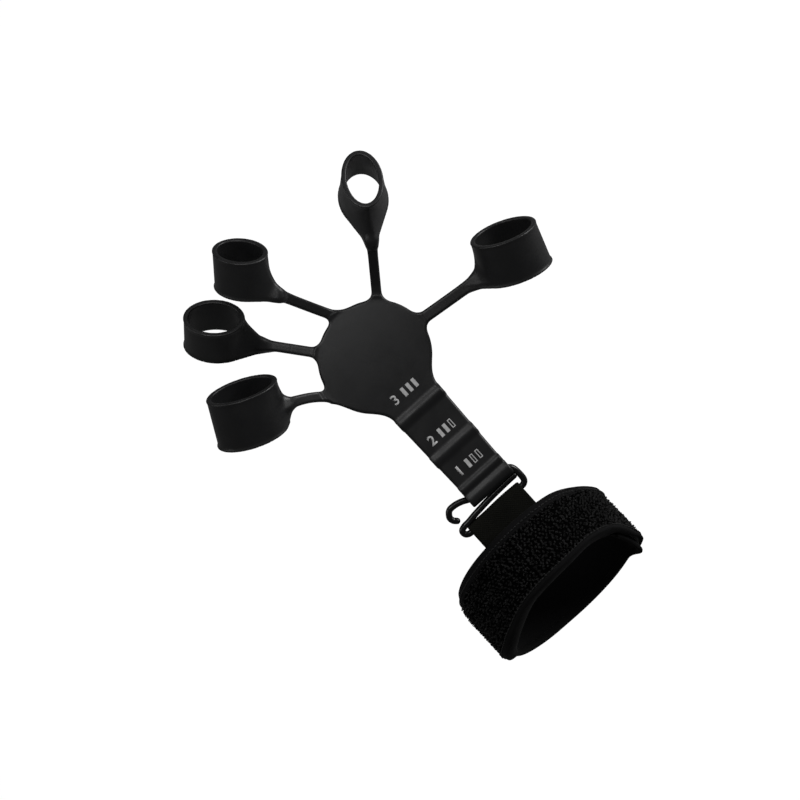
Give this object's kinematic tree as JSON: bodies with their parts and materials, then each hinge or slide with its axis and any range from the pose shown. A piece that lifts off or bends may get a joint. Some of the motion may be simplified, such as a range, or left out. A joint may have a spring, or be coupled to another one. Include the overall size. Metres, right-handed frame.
{
  "type": "finger exerciser",
  "caption": "Hand therapy finger exerciser: elastic star hub with finger loops on stretch arms, tunnelled stem, wire hook and padded wristband.",
  "frame": {"origin": "centre of the wristband opening, at the middle of the band's width", "axes": "+Y along the wrist from forearm to fingers, +X to the thumb side, +Z out of the palm; posed as worn palm up on a right hand"},
  "size_m": [0.1412, 0.1666, 0.136],
  "materials": {
    "silicone": "soft matte moulded silicone",
    "black_wire": "gloss black coated steel wire",
    "webbing": "plain woven tape",
    "loop_pile": "brushed loop pile",
    "edge_binding": "smooth folded knit tape",
    "lining": "smooth knit",
    "padding": "foam padding",
    "hook_tape": "hook tape",
    "thread": "twisted thread"
  },
  "bodies": {
    "wristband": {"webbing_tab": "webbing", "front_lining": "lining", "front_core": "padding", "front_loop_face": "loop_pile", "front_top_binding": "edge_binding", "front_lower_binding": "edge_binding", "binding_stitches": "thread"},
    "closing_tail": {"tail_core": "padding", "tail_hook_patch": "hook_tape", "tail_loop_face": "loop_pile", "tail_top_binding": "edge_binding", "tail_lower_binding": "edge_binding", "tail_end_binding": "edge_binding", "tail_stitches": "thread"},
    "back_strap": {"back_lining": "lining", "back_loop_face": "loop_pile", "back_top_binding": "edge_binding", "back_lower_binding": "edge_binding"},
    "wire_hook": {"wire_hook": "black_wire"},
    "star_hub": {"hub_and_stem": "silicone"},
    "finger_arm_thumb": {"arm_thumb": "silicone"},
    "finger_arm_index": {"arm_index": "silicone"},
    "finger_arm_middle": {"arm_middle": "silicone"},
    "finger_arm_ring": {"arm_ring": "silicone"},
    "finger_arm_pinky": {"arm_pinky": "silicone"},
    "finger_loop_thumb": {"loop_thumb": "silicone"},
    "finger_loop_index": {"loop_index": "silicone"},
    "finger_loop_middle": {"loop_middle": "silicone"},
    "finger_loop_ring": {"loop_ring": "silicone"},
    "finger_loop_pinky": {"loop_pinky": "silicone"}
  },
  "joints": [
    {"name": "tail_peel", "type": "hinge", "parent": "wristband", "child": "closing_tail", "pos_m": [0.02713, 0, 0.01442], "axis": [0, -1, 0], "range_deg": [0, 95], "stiffness_Nm_per_rad": 0.01},
    {"name": "strap_open", "type": "hinge", "parent": "wristband", "child": "back_strap", "pos_m": [-0.03068, 0, -0.00396], "axis": [0, 1, 0], "range_deg": [0, 34], "stiffness_Nm_per_rad": 0.02},
    {"name": "hook_swing", "type": "hinge", "parent": "wristband", "child": "wire_hook", "pos_m": [-0.0022, 0.024, 0.0255], "axis": [1, 0, 0], "range_deg": [-30, 70], "stiffness_Nm_per_rad": 0.4},
    {"name": "stem_pivot", "type": "hinge", "parent": "wire_hook", "child": "star_hub", "pos_m": [0.0025, 0.03171, 0.03115], "axis": [1, 0, 0], "range_deg": [-50, 50], "stiffness_Nm_per_rad": 0.3},
    {"name": "thumb_flex", "type": "hinge", "parent": "star_hub", "child": "finger_arm_thumb", "pos_m": [0.02517, 0.09091, 0.05752], "axis": [-0.0478, -0.9125, -0.4063], "range_deg": [-40, 30], "stiffness_Nm_per_rad": 0.05},
    {"name": "thumb_stretch", "type": "slide", "parent": "finger_arm_thumb", "child": "finger_loop_thumb", "axis": [0.9507, -0.1663, 0.2618], "range_m": [0, 0.025], "stiffness_N_per_m": 600},
    {"name": "index_flex", "type": "hinge", "parent": "star_hub", "child": "finger_arm_index", "pos_m": [0.01827, 0.10692, 0.06464], "axis": [0.8053, -0.5416, -0.2411], "range_deg": [-40, 25], "stiffness_Nm_per_rad": 0.05},
    {"name": "index_stretch", "type": "slide", "parent": "finger_arm_index", "child": "finger_loop_index", "axis": [0.4813, 0.3599, 0.7993], "range_m": [0, 0.025], "stiffness_N_per_m": 600},
    {"name": "middle_flex", "type": "hinge", "parent": "star_hub", "child": "finger_arm_middle", "pos_m": [0.00131, 0.11271, 0.06722], "axis": [0.9095, 0.3797, 0.1691], "range_deg": [-12, 30], "stiffness_Nm_per_rad": 0.05},
    {"name": "middle_stretch", "type": "slide", "parent": "finger_arm_middle", "child": "finger_loop_middle", "axis": [-0.2869, 0.2793, 0.9163], "range_m": [0, 0.025], "stiffness_N_per_m": 600},
    {"name": "ring_flex", "type": "hinge", "parent": "star_hub", "child": "finger_arm_ring", "pos_m": [-0.01327, 0.10692, 0.06464], "axis": [0.7973, 0.5514, 0.2455], "range_deg": [-30, 12], "stiffness_Nm_per_rad": 0.05},
    {"name": "ring_stretch", "type": "slide", "parent": "finger_arm_ring", "child": "finger_loop_ring", "axis": [-0.6029, 0.7093, 0.3651], "range_m": [0, 0.025], "stiffness_N_per_m": 600},
    {"name": "pinky_flex", "type": "hinge", "parent": "star_hub", "child": "finger_arm_pinky", "pos_m": [-0.02019, 0.09128, 0.05768], "axis": [0.5075, 0.7872, 0.3505], "range_deg": [-40, 30], "stiffness_Nm_per_rad": 0.05},
    {"name": "pinky_stretch", "type": "slide", "parent": "finger_arm_pinky", "child": "finger_loop_pinky", "axis": [-0.7245, 0.1697, 0.668], "range_m": [0, 0.025], "stiffness_N_per_m": 600}
  ],
  "couplings": [
    {"joint": "strap_open", "follows": "tail_peel", "ratio": 0.35}
  ]
}
